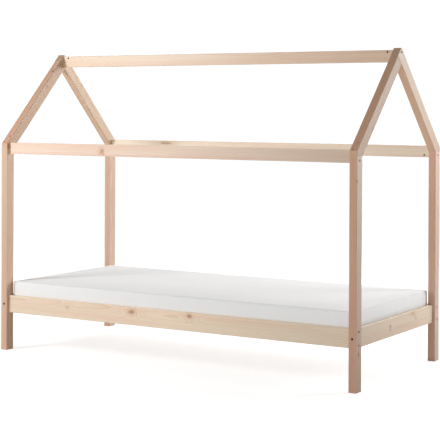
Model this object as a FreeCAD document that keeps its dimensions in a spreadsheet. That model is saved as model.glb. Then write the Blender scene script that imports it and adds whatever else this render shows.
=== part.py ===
"""House frame bed for a 90 x 200 cm mattress, as a parametric document in millimetres.

Two gable frames (posts and rafters) carry a ridge beam, two eaves rails and a bed box of side rails
and end rails. Ledges inside the side rails hold screwed slats, and a mattress lies on the slats.
X runs along the bed, Y across it (the front is -Y) and Z up. The origin is on the floor, in the middle.
"""

import FreeCAD
import Part
import Sketcher
import math
import os

# ---------------------------------------------------------------- driving sizes, in millimetres
SIZES = {
    # mattress: a foam core in a sewn cover, and its gaps to the posts at its ends and to the side rails
    "mattress_length": 2000,
    "mattress_width": 900,
    "mattress_thickness": 120,
    "mattress_crown": 4,
    "mattress_crown_reach": 300,
    "mattress_corner_radius": 22,
    "mattress_edge_radius": 12,
    "mattress_side_draw": 2,
    "mattress_end_gap": 1,
    "mattress_side_gap": 3.5,
    "mattress_rest_gap": 0.3,
    "cover_thickness": 2,
    "core_gap": 0.3,
    # timbers
    "edge_radius": 2.5,
    # gable frames
    "post_width": 39,
    "post_depth": 55,
    "post_height": 1068,
    "rafter_depth": 58,
    "roof_pitch": 45,
    "apex_flat": 10,
    # long and short rails
    "rail_thickness": 18,
    "bed_rail_bottom": 198,
    "bed_rail_height": 91,
    "end_rail_setback": 12,
    "top_rail_height": 60,
    "eaves_rail_rise": 31,
    "ridge_drop": 9,
    # slat base
    "ledge_width": 25,
    "ledge_height": 28,
    "ledge_lift": 1,
    "ledge_end_gap": 55,
    "slat_width": 70,
    "slat_thickness": 18,
    "slat_end_gap": 2,
    # bolts and barrel nuts
    "bolt_diameter": 6,
    "bolt_reach": 45,
    "bolt_tip_gap": 3,
    "bolt_hole_clearance": 0.5,
    "bolt_head_diameter": 10,
    "bolt_head_height": 6,
    "bolt_socket_width": 5,
    "bolt_socket_depth": 3,
    "counterbore_diameter": 12,
    "counterbore_depth": 10,
    "nut_diameter": 10,
    "nut_length": 13,
    "nut_setback": 32,
    "nut_clearance": 0.1,
    "thread_clearance": 0.1,
    "side_bolt_spacing": 62,
    "eaves_bolt_drop": 17,
    "ridge_bolt_drop": 10,
    # wooden dowels
    "dowel_diameter": 8,
    "dowel_length": 40,
    "dowel_clearance": 0.1,
    "dowel_end_gap": 0.5,
    "end_dowel_spacing": 50,
    "eaves_dowel_rise": 15,
    "ridge_dowel_drop": 44,
    # frame screws, at the rafter feet and the apex
    "frame_screw_diameter": 5,
    "frame_screw_head_diameter": 9,
    "frame_screw_head_height": 4,
    "frame_screw_socket_width": 4,
    "frame_screw_socket_depth": 2,
    "frame_screw_pocket": 10,
    "foot_screw_length": 75,
    "foot_screw_seat": 22,
    "foot_screw_outer_x": 17,
    "foot_screw_outer_y": 9,
    "foot_screw_inner_x": 27.5,
    "foot_screw_inner_y": 39,
    "apex_screw_length": 100,
    "apex_screw_seat": 12,
    "apex_screw_upper": 31,
    "apex_screw_lower": 50,
    # base screws, at the ledges and slats
    "base_screw_diameter": 4,
    "base_screw_length": 34,
    "base_screw_head_diameter": 8,
    "base_screw_head_height": 2,
    "base_screw_socket_width": 3,
    "base_screw_socket_depth": 1.2,
    "base_screw_pocket": 8.6,
    "base_screw_recess": 3,
    "screw_clearance": 0.1,
}
SLAT_COUNT = 14

# ---------------------------------------------------------------- places worked out from the sizes
PLACES = {
    # along X: the posts' inner faces, middles and outer faces, then the end rails
    "post_inner_x": "Sizes.mattress_length / 2 + Sizes.mattress_end_gap",
    "post_middle_x": "post_inner_x + Sizes.post_width / 2",
    "half_length": "post_inner_x + Sizes.post_width",
    "end_rail_x": "half_length - Sizes.end_rail_setback - Sizes.rail_thickness / 2",
    "end_rail_inner_x": "end_rail_x - Sizes.rail_thickness / 2",
    # along Y: the side rails' inner faces, then the posts, whose middles the long rails share
    "side_rail_inner_y": "Sizes.mattress_width / 2 + Sizes.mattress_side_gap",
    "post_middle_y": "side_rail_inner_y + Sizes.rail_thickness / 2",
    "post_inner_y": "post_middle_y - Sizes.post_depth / 2",
    "half_width": "post_middle_y + Sizes.post_depth / 2",
    "bed_rail_middle": "Sizes.bed_rail_bottom + Sizes.bed_rail_height / 2",
    # roof: where the outer slope starts, the corner under the apex, the slopes' crossing and the flat
    "slope_start": "Sizes.post_height + Sizes.rafter_depth / cos(Sizes.roof_pitch)"
                   " - Sizes.post_depth * tan(Sizes.roof_pitch)",
    "apex_inner": "Sizes.post_height + post_inner_y * tan(Sizes.roof_pitch)",
    "apex_point": "slope_start + half_width * tan(Sizes.roof_pitch)",
    "apex_top": "apex_point - Sizes.apex_flat / 2 * tan(Sizes.roof_pitch)",
    # the top corner of the face where the front rafter butts under the back one
    "butt_run": "Sizes.rafter_depth / (2 * sin(Sizes.roof_pitch))",
    "butt_top": "apex_point - butt_run * tan(Sizes.roof_pitch)",
    # long top rails
    "eaves_rail_middle": "Sizes.post_height + Sizes.eaves_rail_rise - Sizes.top_rail_height / 2",
    "ridge_top": "apex_top - Sizes.ridge_drop",
    "ridge_middle": "ridge_top - Sizes.top_rail_height / 2",
    # slat base and mattress
    "ledge_bottom": "Sizes.bed_rail_bottom + Sizes.ledge_lift",
    "ledge_top": "ledge_bottom + Sizes.ledge_height",
    "ledge_middle": "ledge_bottom + Sizes.ledge_height / 2",
    "ledge_middle_y": "side_rail_inner_y - Sizes.ledge_width / 2",
    "slat_top": "ledge_top + Sizes.slat_thickness",
    "slat_gap": f"(2 * end_rail_inner_x - {SLAT_COUNT} * Sizes.slat_width) / {SLAT_COUNT + 1}",
    "slat_pitch": "Sizes.slat_width + slat_gap",
    "mattress_bottom": "slat_top + Sizes.mattress_rest_gap",
    "mattress_edge_height": "Sizes.mattress_thickness - Sizes.mattress_crown",
    # heights of the bolts and dowels
    "side_bolt_low": "bed_rail_middle - Sizes.side_bolt_spacing / 2",
    "side_bolt_high": "bed_rail_middle + Sizes.side_bolt_spacing / 2",
    "end_dowel_low": "bed_rail_middle - Sizes.end_dowel_spacing / 2",
    "end_dowel_high": "bed_rail_middle + Sizes.end_dowel_spacing / 2",
    "eaves_bolt_z": "Sizes.post_height - Sizes.eaves_bolt_drop",
    "eaves_dowel_z": "Sizes.post_height + Sizes.eaves_dowel_rise",
    "ridge_bolt_z": "ridge_top - Sizes.ridge_bolt_drop",
    "ridge_dowel_z": "ridge_top - Sizes.ridge_dowel_drop",
    # holes
    "counterbore_radius": "Sizes.counterbore_diameter / 2",
    "bolt_hole_radius": "Sizes.bolt_diameter / 2 + Sizes.bolt_hole_clearance",
    "bolt_hole_reach": "Sizes.bolt_reach + Sizes.bolt_tip_gap",
    "nut_hole_radius": "Sizes.nut_diameter / 2 + Sizes.nut_clearance",
    "nut_hole_depth": "Sizes.rail_thickness / 2 + Sizes.nut_length / 2",
    "dowel_hole_radius": "Sizes.dowel_diameter / 2 + Sizes.dowel_clearance",
    "dowel_hole_depth": "Sizes.dowel_length / 2 + Sizes.dowel_end_gap",
    "frame_screw_hole": "Sizes.frame_screw_diameter / 2 + Sizes.screw_clearance",
    "frame_pocket_radius": "Sizes.frame_screw_pocket / 2",
    "base_screw_hole": "Sizes.base_screw_diameter / 2 + Sizes.screw_clearance",
    "base_pocket_radius": "Sizes.base_screw_pocket / 2",
    # what each screw goes through before it reaches the second piece
    "apex_screw_wall": "Sizes.rafter_depth - Sizes.apex_screw_seat",
    "slat_screw_wall": "Sizes.slat_thickness - Sizes.base_screw_recess",
    "ledge_screw_wall": "Sizes.ledge_width - Sizes.base_screw_recess",
}

Vector = FreeCAD.Vector
Rotation = FreeCAD.Rotation
UPRIGHT = Rotation()
# rotations that point an object's own Z along each direction
TURN = {
    "+X": Rotation(Vector(0, 1, 0), 90),
    "-X": Rotation(Vector(0, -1, 0), 90),
    "+Y": Rotation(Vector(-1, 0, 0), 90),
    "-Y": Rotation(Vector(1, 0, 0), 90),
    "+Z": UPRIGHT,
    "-Z": Rotation(Vector(1, 0, 0), 180),
}
# rotations that lay a barrel nut across a rail, with its thread along X or along Y
NUT_TURN = {"X": Rotation(Vector(1, 0, 0), 90), "Y": Rotation(Vector(1, 1, 1), 120)}
HALF_TURN = Rotation(Vector(0, 0, 1), 180)
# a screw square to the slope of the back rafters, its head outwards
SQUARE_TO_SLOPE = Rotation(Vector(-1, 0, 0), SIZES["roof_pitch"])
ENDS = {"left": "-", "right": "+"}
SIDES = {"front": "-", "back": "+"}
OPPOSITE = {"-": "+", "+": "-"}

document = FreeCAD.newDocument("HouseFrameBed")
pieces = []


# ---------------------------------------------------------------- building blocks
def make_sheet(name, cells):
    """Fills a spreadsheet with one aliased cell for each entry: a number, or a formula as text."""
    sheet = document.addObject("Spreadsheet::Sheet", name)
    for row, (alias, value) in enumerate(cells.items(), start=1):
        sheet.set(f"A{row}", alias)
        sheet.set(f"B{row}", f"={value}" if isinstance(value, str) else str(value))
        sheet.setAlias(f"B{row}", alias)
    document.recompute()


def bind(thing, **expressions):
    """Ties properties to expressions on the sheets. A double underscore stands for a dot."""
    for name, expression in expressions.items():
        thing.setExpression(name.replace("__", "."), expression)
    return thing


def place(thing, point, rotation=UPRIGHT):
    """Puts a thing at a point given as three expressions, turned by a rotation."""
    thing.Placement = FreeCAD.Placement(Vector(), rotation)
    x, y, z = point
    bind(thing, Placement__Base__x=x, Placement__Base__y=y, Placement__Base__z=z)
    if rotation is SQUARE_TO_SLOPE:
        bind(thing, Placement__Rotation__Angle="Sizes.roof_pitch")
    return thing


def shifted(point, direction, distance):
    """A point moved by a distance along a direction such as +X."""
    moved = list(point)
    axis = "XYZ".index(direction[1])
    moved[axis] = f"{moved[axis]} {direction[0]} ({distance})"
    return tuple(moved)


def opposite(direction):
    """The direction that points the other way."""
    return OPPOSITE[direction[0]] + direction[1]


def piece(name, thing):
    """Names a finished piece of the bed and lists it for export."""
    thing.Label = name
    pieces.append(thing)
    return thing


def rectangle(width, height):
    """The corners of a rectangle around the origin."""
    left, right = f"-{width} / 2", f"{width} / 2"
    low, high = f"-{height} / 2", f"{height} / 2"
    return [(left, low), (right, low), (right, high), (left, high)]


def outline(body, role, corners):
    """A closed outline on one of a body's origin planes, each corner tied to a pair of expressions."""
    sketch = body.newObject("Sketcher::SketchObject", "Outline")
    plane = next(plane for plane in body.Origin.OriginFeatures if plane.Role == role)
    sketch.AttachmentSupport = [(plane, "")]
    sketch.MapMode = "FlatFace"
    count = len(corners)
    turn = 2 * math.pi / count
    rough = [Vector(math.cos(turn * index), math.sin(turn * index), 0) for index in range(count)]
    for index in range(count):
        sketch.addGeometry(Part.LineSegment(rough[index], rough[(index + 1) % count]), False)
    for index in range(count):
        sketch.addConstraint(Sketcher.Constraint("Coincident", index, 2, (index + 1) % count, 1))
    for index, corner in enumerate(corners):
        for kind, expression in zip(("DistanceX", "DistanceY"), corner):
            number = sketch.addConstraint(Sketcher.Constraint(kind, -1, 1, index, 1, 1.0))
            sketch.setExpression(f"Constraints[{number}]", expression)
    return sketch


def timber(name, role, corners, length, grain, point, rotation=UPRIGHT):
    """A body: an outline padded to both sides of its plane, with the edges along the grain rounded.

    The grain is a list of directions in the body's own frame.
    """
    body = document.addObject("PartDesign::Body", f"{name}_body")
    pad = body.newObject("PartDesign::Pad", "Pad")
    pad.Profile = outline(body, role, corners)
    pad.Midplane = True
    bind(pad, Length=length)
    document.recompute()
    along = []
    for number, edge in enumerate(pad.Shape.Edges, start=1):
        tangent = edge.tangentAt(edge.FirstParameter)
        if any(abs(tangent.dot(direction)) > 0.999 for direction in grain):
            along.append(f"Edge{number}")
    rounded = body.newObject("PartDesign::Fillet", "RoundedEdges")
    rounded.Base = (pad, along)
    bind(rounded, Radius="Sizes.edge_radius")
    return place(body, point, rotation)


def bore(radius, depth, point, rotation):
    """A hole to be cut: a cylinder that starts at a point and runs along its own turned Z."""
    hole = document.addObject("Part::Cylinder", "Bore")
    bind(hole, Radius=radius, Height=depth)
    return place(hole, point, rotation)


def drilled(name, body, holes):
    """A timber less its holes."""
    tool = document.addObject("Part::MultiFuse", f"{name}_holes")
    tool.Shapes = holes
    cut = document.addObject("Part::Cut", f"{name}_drilled")
    cut.Base = body
    cut.Tool = tool
    return cut


def screw_shape(name, kind, length):
    """A bolt or screw that points along -Z, its head standing on the XY plane, with a hexagon socket."""
    shank = document.addObject("Part::Cylinder", f"{name}_shank")
    bind(shank, Radius=f"Sizes.{kind}_diameter / 2", Height=length)
    place(shank, ("0", "0", f"-({length})"))
    head = document.addObject("Part::Cylinder", f"{name}_head")
    bind(head, Radius=f"Sizes.{kind}_head_diameter / 2", Height=f"Sizes.{kind}_head_height")
    whole = document.addObject("Part::Fuse", f"{name}_whole")
    whole.Base = shank
    whole.Tool = head
    socket = document.addObject("Part::Prism", f"{name}_socket")
    socket.Polygon = 6
    bind(socket, Circumradius=f"Sizes.{kind}_socket_width / (2 * cos(30))", Height=f"Sizes.{kind}_socket_depth")
    place(socket, ("0", "0", f"Sizes.{kind}_head_height - Sizes.{kind}_socket_depth"))
    shape = document.addObject("Part::Cut", name)
    shape.Base = whole
    shape.Tool = socket
    return shape


def copies(name, shape, places):
    """One finished piece of separate copies of a shape, each at a point and turned by a rotation."""
    links = []
    for point, rotation in places:
        link = document.addObject("App::Link", f"{name}_copy")
        link.LinkedObject = shape
        link.LinkTransform = False
        links.append(place(link, point, rotation))
    compound = document.addObject("Part::Compound", name)
    compound.Links = links
    return piece(name, compound)


# ---------------------------------------------------------------- joints
class BoltLine:
    """A bolt that goes in at an outer face, through a wall and into a rail's end, with its barrel nut."""

    def __init__(self, entry, direction, wall, nut_side):
        """entry: where the axis meets the outer face. nut_side: where the nut's hole opens, from the axis."""
        self.direction = direction
        self.wall = wall
        self.nut_side = nut_side
        self.entry = entry
        self.joint = shifted(entry, direction, wall)
        self.seat = shifted(entry, direction, "Sizes.counterbore_depth")
        self.nut = shifted(self.joint, direction, "Sizes.nut_setback")

    def wall_holes(self):
        """The counterbore and the clearance hole through the wall."""
        turn = TURN[self.direction]
        return [bore("Places.counterbore_radius", "Sizes.counterbore_depth", self.entry, turn),
                bore("Places.bolt_hole_radius", self.wall, self.entry, turn)]

    def rail_holes(self):
        """The hole up the rail's end and the blind hole for the nut."""
        opening = shifted(self.nut, self.nut_side, "Sizes.rail_thickness / 2")
        return [bore("Places.bolt_hole_radius", "Places.bolt_hole_reach", self.joint, TURN[self.direction]),
                bore("Places.nut_hole_radius", "Places.nut_hole_depth", opening, TURN[opposite(self.nut_side)])]

    def bolt_place(self):
        """Where the bolt's head sits, and the turn that points it along its direction."""
        return self.seat, TURN[opposite(self.direction)]

    def nut_place(self):
        """Where the barrel nut lies, with its thread along the bolt."""
        return self.nut, NUT_TURN[self.direction[1]]


class DowelLine:
    """A dowel half in one timber and half in the next."""

    def __init__(self, joint, direction):
        """joint: where the axis crosses the joint. direction: from the wall into the rail."""
        self.joint = joint
        self.direction = direction

    def hole(self, direction):
        """The hole in the timber that lies that way from the joint."""
        return bore("Places.dowel_hole_radius", "Places.dowel_hole_depth", self.joint, TURN[direction])

    def wall_hole(self):
        """The half in the post or rafter."""
        return self.hole(opposite(self.direction))

    def rail_hole(self):
        """The half in the rail."""
        return self.hole(self.direction)

    def dowel_place(self):
        """Where the dowel's middle lies."""
        return self.joint, TURN[self.direction]


make_sheet("Sizes", SIZES)
make_sheet("Places", PLACES)

# bolts of the side rails and eaves rails, from the bed's ends through a post, by (end, side)
corners = [(end, side) for end in ENDS for side in SIDES]
inward_x = {end: opposite(f"{sign}X") for end, sign in ENDS.items()}
inward_y = {side: opposite(f"{sign}Y") for side, sign in SIDES.items()}
outer_x = {end: f"{sign}Places.half_length" for end, sign in ENDS.items()}
rail_y = {side: f"{sign}Places.post_middle_y" for side, sign in SIDES.items()}
side_rail_bolts = {
    (end, side): [
        BoltLine((outer_x[end], rail_y[side], height), inward_x[end], "Sizes.post_width", inward_y[side])
        for height in ("Places.side_bolt_low", "Places.side_bolt_high")
    ]
    for end, side in corners
}
eaves_rail_bolts = {
    (end, side): BoltLine((outer_x[end], rail_y[side], "Places.eaves_bolt_z"), inward_x[end],
                          "Sizes.post_width", inward_y[side])
    for end, side in corners
}
# the end rails' bolts come from the front and back, and the ridge's from the ends
end_rail_bolts = {
    (end, side): BoltLine((f"{ENDS[end]}Places.end_rail_x", f"{SIDES[side]}Places.half_width",
                           "Places.bed_rail_middle"), inward_y[side], "Sizes.post_depth", inward_x[end])
    for end, side in corners
}
ridge_bolts = {
    end: BoltLine((outer_x[end], "0", "Places.ridge_bolt_z"), inward_x[end], "Sizes.post_width", "-Y")
    for end in ENDS
}
end_rail_dowels = {
    (end, side): [
        DowelLine((f"{ENDS[end]}Places.end_rail_x", f"{SIDES[side]}Places.post_inner_y", height), inward_y[side])
        for height in ("Places.end_dowel_low", "Places.end_dowel_high")
    ]
    for end, side in corners
}
eaves_rail_dowels = {
    (end, side): DowelLine((f"{ENDS[end]}Places.post_inner_x", rail_y[side], "Places.eaves_dowel_z"), inward_x[end])
    for end, side in corners
}
ridge_dowels = {
    end: DowelLine((f"{ENDS[end]}Places.post_inner_x", "0", "Places.ridge_dowel_z"), inward_x[end])
    for end in ENDS
}

# seats of the two screws down each rafter foot, the same way round at both ends of the bed
gable_left_face = {"left": "-Places.half_length", "right": "Places.post_inner_x"}
foot_screw_seats = {
    (end, side): [
        (f"{gable_left_face[end]} + Sizes.foot_screw_{row}_x",
         f"{SIDES[side]}(Places.half_width - Sizes.foot_screw_{row}_y)",
         "Sizes.post_height + Sizes.foot_screw_seat")
        for row in ("outer", "inner")
    ]
    for end, side in corners
}
# where the two apex screws cross the face that the front rafter butts against, and their seats
apex_screw_crossings = {
    end: [
        (f"{ENDS[end]}Places.post_middle_x",
         f"Sizes.apex_screw_{row} * cos(Sizes.roof_pitch) - Places.butt_run",
         f"Places.butt_top - Sizes.apex_screw_{row} * sin(Sizes.roof_pitch)")
        for row in ("upper", "lower")
    ]
    for end in ENDS
}


def apex_seat(crossing):
    """The seat of an apex screw, square out from its crossing through the back rafter."""
    x, y, z = crossing
    return (x, f"{y} + Places.apex_screw_wall * sin(Sizes.roof_pitch)",
            f"{z} + Places.apex_screw_wall * cos(Sizes.roof_pitch)")


# ---------------------------------------------------------------- posts and rafters
ALONG_X = [Vector(1, 0, 0)]
ALONG_Y = [Vector(0, 1, 0)]
ALONG_Z = [Vector(0, 0, 1)]
pitch = math.radians(SIZES["roof_pitch"])
ALONG_SLOPE = [Vector(0, -math.cos(pitch), math.sin(pitch)), Vector(0, 0, 1)]

for end, side in corners:
    name = f"post_{end}_{side}"
    holes = [hole for bolt in side_rail_bolts[end, side] for hole in bolt.wall_holes()]
    holes += eaves_rail_bolts[end, side].wall_holes()
    holes += end_rail_bolts[end, side].wall_holes()
    holes += [dowel.wall_hole() for dowel in end_rail_dowels[end, side]]
    holes += [bore("Places.frame_screw_hole", "Sizes.foot_screw_length", seat, TURN["-Z"])
              for seat in foot_screw_seats[end, side]]
    body = timber(name, "XY_Plane", rectangle("Sizes.post_width", "Sizes.post_depth"), "Sizes.post_height",
                  ALONG_Z, (f"{ENDS[end]}Places.post_middle_x", rail_y[side], "Sizes.post_height / 2"))
    piece(name, drilled(name, body, holes))

# each outline runs over (distance from the middle plane, height), from the foot up the outer slope
foot = [("Places.post_inner_y", "Sizes.post_height"), ("Places.half_width", "Sizes.post_height"),
        ("Places.half_width", "Places.slope_start")]
rafter_outlines = {
    "front": foot + [("Places.butt_run", "Places.butt_top"), ("0", "Places.apex_inner")],
    "back": foot + [("Sizes.apex_flat / 2", "Places.apex_top"), ("-Sizes.apex_flat / 2", "Places.apex_top"),
                    ("-Places.butt_run", "Places.butt_top")],
}
for end, side in corners:
    name = f"rafter_{end}_{side}"
    holes = [eaves_rail_dowels[end, side].wall_hole()]
    for seat in foot_screw_seats[end, side]:
        holes += [bore("Places.frame_pocket_radius", "2 * Sizes.rafter_depth", seat, TURN["+Z"]),
                  bore("Places.frame_screw_hole", "Sizes.foot_screw_seat", seat, TURN["-Z"])]
    if side == "back":
        holes += ridge_bolts[end].wall_holes()
        holes += [ridge_dowels[end].wall_hole()]
    for crossing in apex_screw_crossings[end]:
        seat = apex_seat(crossing)
        inwards = bore("Places.frame_screw_hole", "Sizes.apex_screw_length", seat, SQUARE_TO_SLOPE)
        bind(inwards, Placement__Rotation__Angle="Sizes.roof_pitch + 180")
        holes += [inwards]
        if side == "back":
            holes += [bore("Places.frame_pocket_radius", "Sizes.apex_screw_seat", seat, SQUARE_TO_SLOPE)]
    body = timber(name, "YZ_Plane", rafter_outlines[side], "Sizes.post_width", ALONG_SLOPE,
                  (f"{ENDS[end]}Places.post_middle_x", "0", "0"), UPRIGHT if side == "back" else HALF_TURN)
    piece(name, drilled(name, body, holes))

# ---------------------------------------------------------------- rails
long_rail_length = "2 * Places.post_inner_x"
# the ledges' screws go in between every other pair of slats
ledge_screw_x = [f"-Places.end_rail_inner_x + {number} * Places.slat_pitch + Places.slat_gap / 2"
                 for number in range(1, SLAT_COUNT, 2)]

for side in SIDES:
    name = f"side_rail_{side}"
    holes = [hole for end in ENDS for bolt in side_rail_bolts[end, side] for hole in bolt.rail_holes()]
    holes += [bore("Places.base_screw_hole", "Sizes.base_screw_length - Places.ledge_screw_wall",
                   (x, f"{SIDES[side]}Places.side_rail_inner_y", "Places.ledge_middle"), TURN[f"{SIDES[side]}Y"])
              for x in ledge_screw_x]
    body = timber(name, "YZ_Plane", rectangle("Sizes.rail_thickness", "Sizes.bed_rail_height"),
                  long_rail_length, ALONG_X, ("0", rail_y[side], "Places.bed_rail_middle"))
    piece(name, drilled(name, body, holes))

for end in ENDS:
    name = f"end_rail_{end}"
    holes = [hole for side in SIDES for hole in end_rail_bolts[end, side].rail_holes()]
    holes += [dowel.rail_hole() for side in SIDES for dowel in end_rail_dowels[end, side]]
    body = timber(name, "XZ_Plane", rectangle("Sizes.rail_thickness", "Sizes.bed_rail_height"),
                  "2 * Places.post_inner_y", ALONG_Y, (f"{ENDS[end]}Places.end_rail_x", "0", "Places.bed_rail_middle"))
    piece(name, drilled(name, body, holes))

for side in SIDES:
    name = f"eaves_rail_{side}"
    holes = [hole for end in ENDS for hole in eaves_rail_bolts[end, side].rail_holes()]
    holes += [eaves_rail_dowels[end, side].rail_hole() for end in ENDS]
    body = timber(name, "YZ_Plane", rectangle("Sizes.rail_thickness", "Sizes.top_rail_height"),
                  long_rail_length, ALONG_X, ("0", rail_y[side], "Places.eaves_rail_middle"))
    piece(name, drilled(name, body, holes))

holes = [hole for end in ENDS for hole in ridge_bolts[end].rail_holes()]
holes += [ridge_dowels[end].rail_hole() for end in ENDS]
body = timber("ridge_beam", "YZ_Plane", rectangle("Sizes.rail_thickness", "Sizes.top_rail_height"),
              long_rail_length, ALONG_X, ("0", "0", "Places.ridge_middle"))
piece("ridge_beam", drilled("ridge_beam", body, holes))

# ---------------------------------------------------------------- slat base
slat_x = [f"-Places.end_rail_inner_x + {number} * Places.slat_pitch - Sizes.slat_width / 2"
          for number in range(1, SLAT_COUNT + 1)]
ledge_screw_places = []
for side, sign in SIDES.items():
    name = f"slat_ledge_{side}"
    outward = f"{sign}Y"
    holes = []
    for x in slat_x:
        holes.append(bore("Places.base_screw_hole", "Sizes.base_screw_length - Places.slat_screw_wall",
                          (x, f"{sign}Places.ledge_middle_y", "Places.ledge_top"), TURN["-Z"]))
    for x in ledge_screw_x:
        seat = (x, f"{sign}(Places.side_rail_inner_y - Places.ledge_screw_wall)", "Places.ledge_middle")
        holes.append(bore("Places.base_screw_hole", "Places.ledge_screw_wall", seat, TURN[outward]))
        holes.append(bore("Places.base_pocket_radius", "Sizes.base_screw_recess", seat, TURN[opposite(outward)]))
        ledge_screw_places.append((seat, TURN[opposite(outward)]))
    body = timber(name, "YZ_Plane", rectangle("Sizes.ledge_width", "Sizes.ledge_height"),
                  "2 * (Places.post_inner_x - Sizes.ledge_end_gap)", ALONG_X,
                  ("0", f"{sign}Places.ledge_middle_y", "Places.ledge_middle"))
    piece(name, drilled(name, body, holes))

slat_body = timber("slat", "XZ_Plane", rectangle("Sizes.slat_width", "Sizes.slat_thickness"),
                   "2 * (Places.side_rail_inner_y - Sizes.slat_end_gap)", ALONG_Y, ("0", "0", "0"))
slat_seats = [("0", f"{sign}Places.ledge_middle_y", "Places.slat_screw_wall - Sizes.slat_thickness / 2")
              for sign in SIDES.values()]
slat_holes = [bore("Places.base_screw_hole", "Places.slat_screw_wall", seat, TURN["-Z"]) for seat in slat_seats]
slat_holes += [bore("Places.base_pocket_radius", "Sizes.base_screw_recess", seat, UPRIGHT) for seat in slat_seats]
slat = drilled("slat", slat_body, slat_holes)
for number, x in enumerate(slat_x, start=1):
    copies(f"slat_{number:02d}", slat, [((x, "0", "Places.slat_top - Sizes.slat_thickness / 2"), UPRIGHT)])


# ---------------------------------------------------------------- mattress
def mattress_section(inset, radius, height):
    """A level rounded rectangle, drawn in from the mattress's widest outline by an inset."""
    sketch = document.addObject("Sketcher::SketchObject", "Section")
    place(sketch, ("0", "0", f"Places.mattress_bottom + {height}"))
    half_length = SIZES["mattress_length"] / 2
    half_width = SIZES["mattress_width"] / 2
    rough = SIZES["mattress_edge_radius"]
    # the corners' centres, from the right back one round to the right front one
    centres = [(right * (half_length - rough), back * (half_width - rough))
               for right, back in ((1, 1), (-1, 1), (-1, -1), (1, -1))]
    for quarter, (x, y) in enumerate(centres):
        circle = Part.Circle(Vector(x, y, 0), Vector(0, 0, 1), rough)
        start = quarter * math.pi / 2
        sketch.addGeometry(Part.ArcOfCircle(circle, start, start + math.pi / 2), False)
    for quarter in range(4):
        begin = sketch.getPoint(quarter, 2)
        finish = sketch.getPoint((quarter + 1) % 4, 1)
        sketch.addGeometry(Part.LineSegment(begin, finish), False)
    for quarter in range(4):
        side = 4 + quarter
        sketch.addConstraint(Sketcher.Constraint("Tangent", quarter, 2, side, 1))
        sketch.addConstraint(Sketcher.Constraint("Tangent", side, 2, (quarter + 1) % 4, 1))
        sketch.addConstraint(Sketcher.Constraint("Horizontal" if quarter % 2 == 0 else "Vertical", side))
    for quarter in range(1, 4):
        sketch.addConstraint(Sketcher.Constraint("Equal", 0, quarter))
    # lines 4 to 7 are the back, left, front and right sides
    for kind, side, expression, start in (
            ("DistanceY", 4, f"Sizes.mattress_width / 2 - ({inset})", half_width),
            ("DistanceX", 5, f"-Sizes.mattress_length / 2 + ({inset})", -half_length),
            ("DistanceY", 6, f"-Sizes.mattress_width / 2 + ({inset})", -half_width),
            ("DistanceX", 7, f"Sizes.mattress_length / 2 - ({inset})", half_length)):
        number = sketch.addConstraint(Sketcher.Constraint(kind, -1, 1, side, 1, start))
        sketch.setExpression(f"Constraints[{number}]", expression)
    number = sketch.addConstraint(Sketcher.Constraint("Radius", 0, rough))
    sketch.setExpression(f"Constraints[{number}]", radius)
    return sketch


def mattress_shape(name, depth):
    """The mattress's form at a depth below its skin: rounded edges, drawn-in sides and a crowned top."""
    edge = f"(Sizes.mattress_edge_radius - {depth})"
    arc = [(f"{depth} + {edge} * (1 - sin({angle}))", f"{edge} * (1 - cos({angle}))")
           for angle in (0, 22.5, 45, 67.5, 90)]
    levels = [(inset, f"{depth} + {rise}") for inset, rise in arc]
    levels.append((f"{depth} + Sizes.mattress_side_draw", "Places.mattress_edge_height / 2"))
    levels += [(inset, f"Places.mattress_edge_height - {depth} - {rise}") for inset, rise in reversed(arc)]
    sections = [mattress_section(inset, f"Sizes.mattress_corner_radius - ({inset})", height)
                for inset, height in levels]
    # the crown rises along a parabola, and its outlines grow rounder towards the middle, by the flat's share
    flat_share = "(1 - 2 * Sizes.mattress_crown_reach / Sizes.mattress_width)"
    for share in (0.2, 0.5, 1):
        reach = f"{share} * (Sizes.mattress_crown_reach - Sizes.mattress_edge_radius)"
        rise = f"{1 - (1 - share) ** 2} * Sizes.mattress_crown"
        sections.append(mattress_section(
            f"Sizes.mattress_edge_radius + {reach}",
            f"Sizes.mattress_corner_radius - Sizes.mattress_edge_radius + {reach} * {flat_share}",
            f"Places.mattress_edge_height - {depth} + {rise}"))
    loft = document.addObject("Part::Loft", name)
    loft.Sections = sections
    loft.Solid = True
    loft.Ruled = True
    return loft


cover = document.addObject("Part::Cut", "cover")
cover.Base = mattress_shape("cover_outside", "0")
cover.Tool = mattress_shape("cover_inside", "Sizes.cover_thickness")
piece("mattress_cover", cover)
piece("mattress_core", mattress_shape("core", "(Sizes.cover_thickness + Sizes.core_gap)"))

# ---------------------------------------------------------------- fasteners
nut_barrel = document.addObject("Part::Cylinder", "nut_barrel")
bind(nut_barrel, Radius="Sizes.nut_diameter / 2", Height="Sizes.nut_length")
place(nut_barrel, ("0", "0", "-Sizes.nut_length / 2"))
barrel_nut = drilled("barrel_nut", nut_barrel, [
    bore("Sizes.bolt_diameter / 2 + Sizes.thread_clearance", "Sizes.nut_diameter",
         ("-Sizes.nut_diameter / 2", "0", "0"), TURN["+X"]),
    bore("Sizes.bolt_diameter / 4", "Sizes.bolt_socket_depth",
         ("0", "0", "Sizes.nut_length / 2 - Sizes.bolt_socket_depth"), UPRIGHT),
])
post_width_bolt = screw_shape("post_width_bolt", "bolt",
                              "Sizes.post_width - Sizes.counterbore_depth + Sizes.bolt_reach")
post_depth_bolt = screw_shape("post_depth_bolt", "bolt",
                              "Sizes.post_depth - Sizes.counterbore_depth + Sizes.bolt_reach")
for name, bolt, lines in (
        ("side_rail", post_width_bolt, [line for pair in side_rail_bolts.values() for line in pair]),
        ("end_rail", post_depth_bolt, list(end_rail_bolts.values())),
        ("eaves_rail", post_width_bolt, list(eaves_rail_bolts.values())),
        ("ridge", post_width_bolt, list(ridge_bolts.values()))):
    copies(f"{name}_bolts", bolt, [line.bolt_place() for line in lines])
    copies(f"{name}_barrel_nuts", barrel_nut, [line.nut_place() for line in lines])

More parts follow.
